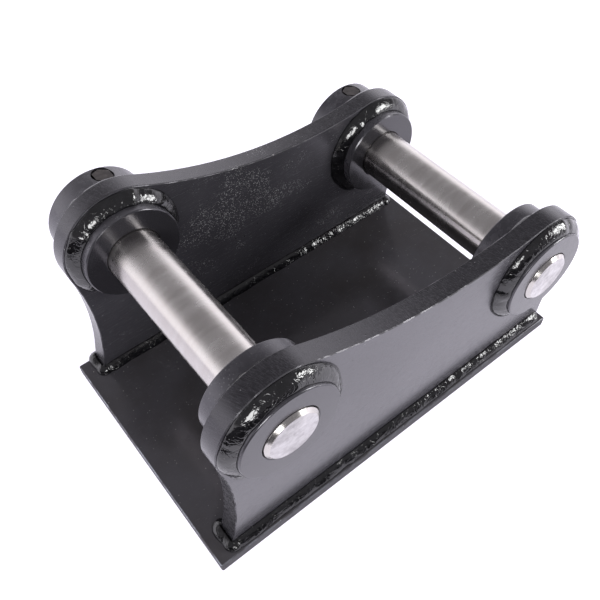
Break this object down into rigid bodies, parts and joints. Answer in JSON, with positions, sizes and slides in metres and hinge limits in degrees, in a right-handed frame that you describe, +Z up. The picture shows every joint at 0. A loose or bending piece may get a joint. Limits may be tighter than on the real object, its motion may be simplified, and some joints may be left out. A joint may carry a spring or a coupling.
{
  "type": "excavator attachment hanger",
  "caption": "Welded headstock with upright side plates, turned bosses and cross pins that join an attachment to a small excavator's dipper.",
  "frame": {"origin": "the middle of the base plate's underside", "axes": "+X along the side plates, from the high pin to the low one; +Y along the pins, from the near side plate to the far one; +Z up, out of the base plate"},
  "size_m": [0.3407, 0.2357, 0.1744],
  "materials": {
    "base_paint": "gloss black, with dust and fine scratches",
    "plate_paint": "gloss black over rolled and cut plate",
    "boss_paint": "gloss black over turned steel",
    "weld_paint": "gloss black over a rippled weld bead",
    "pin_steel": "turned, with fine rings",
    "bolt_steel": "dull and a little brown"
  },
  "bodies": {
    "weldment": {"base_plate": "base_paint", "near_side_plate": "plate_paint", "far_side_plate": "plate_paint", "near_boss_1": "boss_paint", "near_boss_2": "boss_paint", "far_boss_1": "boss_paint", "far_boss_2": "boss_paint", "weld_near_outer_boss_1": "weld_paint", "weld_near_outer_boss_2": "weld_paint", "weld_near_inner_boss_1": "weld_paint", "weld_near_inner_boss_2": "weld_paint", "weld_far_inner_boss_1": "weld_paint", "weld_far_inner_boss_2": "weld_paint", "weld_far_outer_boss_1": "weld_paint", "weld_far_outer_boss_2": "weld_paint", "weld_near_outer_base": "weld_paint", "weld_near_inner_base": "weld_paint", "weld_far_inner_base": "weld_paint", "weld_far_outer_base": "weld_paint", "weld_near_left_end": "weld_paint", "weld_far_left_end": "weld_paint", "weld_far_right_end": "weld_paint"},
    "pin_1": {"pin_1": "pin_steel"},
    "pin_2": {"pin_2": "pin_steel"},
    "lock_bolt_1": {"lock_bolt_1": "bolt_steel"},
    "lock_bolt_2": {"lock_bolt_2": "bolt_steel"}
  },
  "joints": [
    {"name": "pin_1_slide", "type": "slide", "parent": "weldment", "child": "pin_1", "axis": [0, -1, 0], "range_m": [0, 0.192]},
    {"name": "pin_2_slide", "type": "slide", "parent": "weldment", "child": "pin_2", "axis": [0, -1, 0], "range_m": [0, 0.192]},
    {"name": "lock_bolt_1_slide", "type": "slide", "parent": "weldment", "child": "lock_bolt_1", "axis": [0.2419, 0, 0.9703], "range_m": [0, 0.012]},
    {"name": "lock_bolt_2_slide", "type": "slide", "parent": "weldment", "child": "lock_bolt_2", "axis": [0.0872, 0, 0.9962], "range_m": [0, 0.012]}
  ]
}
